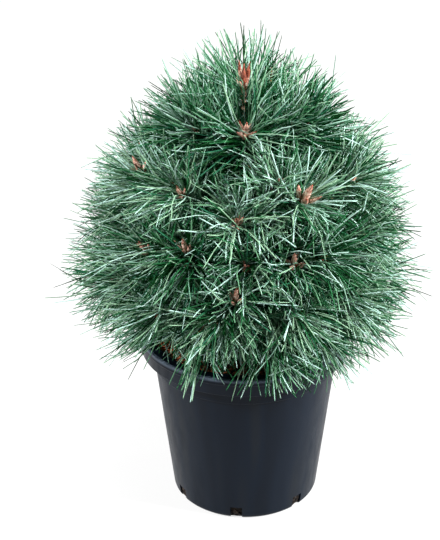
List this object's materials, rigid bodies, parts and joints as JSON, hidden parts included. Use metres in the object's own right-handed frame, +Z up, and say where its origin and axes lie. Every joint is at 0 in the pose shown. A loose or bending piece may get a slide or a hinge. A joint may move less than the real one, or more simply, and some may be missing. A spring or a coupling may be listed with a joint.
{
  "type": "potted dwarf pine",
  "caption": "Compact blue-green pine with long needles and orange buds, a rounded conical crown on a short trunk, growing in a tapered round black nursery pot.",
  "frame": {"origin": "centre of the pot's flat underside, where the pot stands on the ground", "axes": "+Z up along the trunk; the pictured front of the plant faces -Y, with +X to its right in the picture"},
  "size_m": [0.6007, 0.5957, 0.8183],
  "materials": {
    "pot_plastic": "satin black moulded plastic with a faint blue cast",
    "potting_soil": "dark moist compost with orange-brown bark chips",
    "bark": "rough brown scaly bark",
    "needles": "blue-green needles with a slight waxy sheen"
  },
  "bodies": {
    "root": {"pot": "pot_plastic", "soil": "potting_soil", "trunk": "bark", "bough_low_1": "bark", "bough_low_2": "bark", "bough_low_3": "bark", "bough_low_4": "bark", "bough_low_5": "bark", "bough_low_6": "bark", "bough_middle_1": "bark", "bough_middle_2": "bark", "bough_middle_3": "bark", "bough_middle_4": "bark", "bough_middle_5": "bark", "bough_middle_6": "bark", "bough_skirt_1": "bark", "bough_skirt_2": "bark", "bough_skirt_3": "bark", "bough_skirt_4": "bark", "bough_skirt_5": "bark", "bough_skirt_6": "bark", "bough_upper_1": "bark", "bough_upper_2": "bark", "bough_upper_3": "bark", "bough_upper_4": "bark", "bough_upper_5": "bark", "needles_leader": "needles", "needles_low_1": "needles", "needles_low_2": "needles", "needles_low_3": "needles", "needles_low_4": "needles", "needles_low_5": "needles", "needles_low_6": "needles", "needles_middle_1": "needles", "needles_middle_2": "needles", "needles_middle_3": "needles", "needles_middle_4": "needles", "needles_middle_5": "needles", "needles_middle_6": "needles", "needles_skirt_1": "needles", "needles_skirt_2": "needles", "needles_skirt_3": "needles", "needles_skirt_4": "needles", "needles_skirt_5": "needles", "needles_skirt_6": "needles", "needles_top_1": "needles", "needles_top_2": "needles", "needles_top_3": "needles", "needles_top_4": "needles", "needles_top_5": "needles", "needles_upper_1": "needles", "needles_upper_2": "needles", "needles_upper_3": "needles", "needles_upper_4": "needles", "needles_upper_5": "needles"}
  },
  "joints": []
}
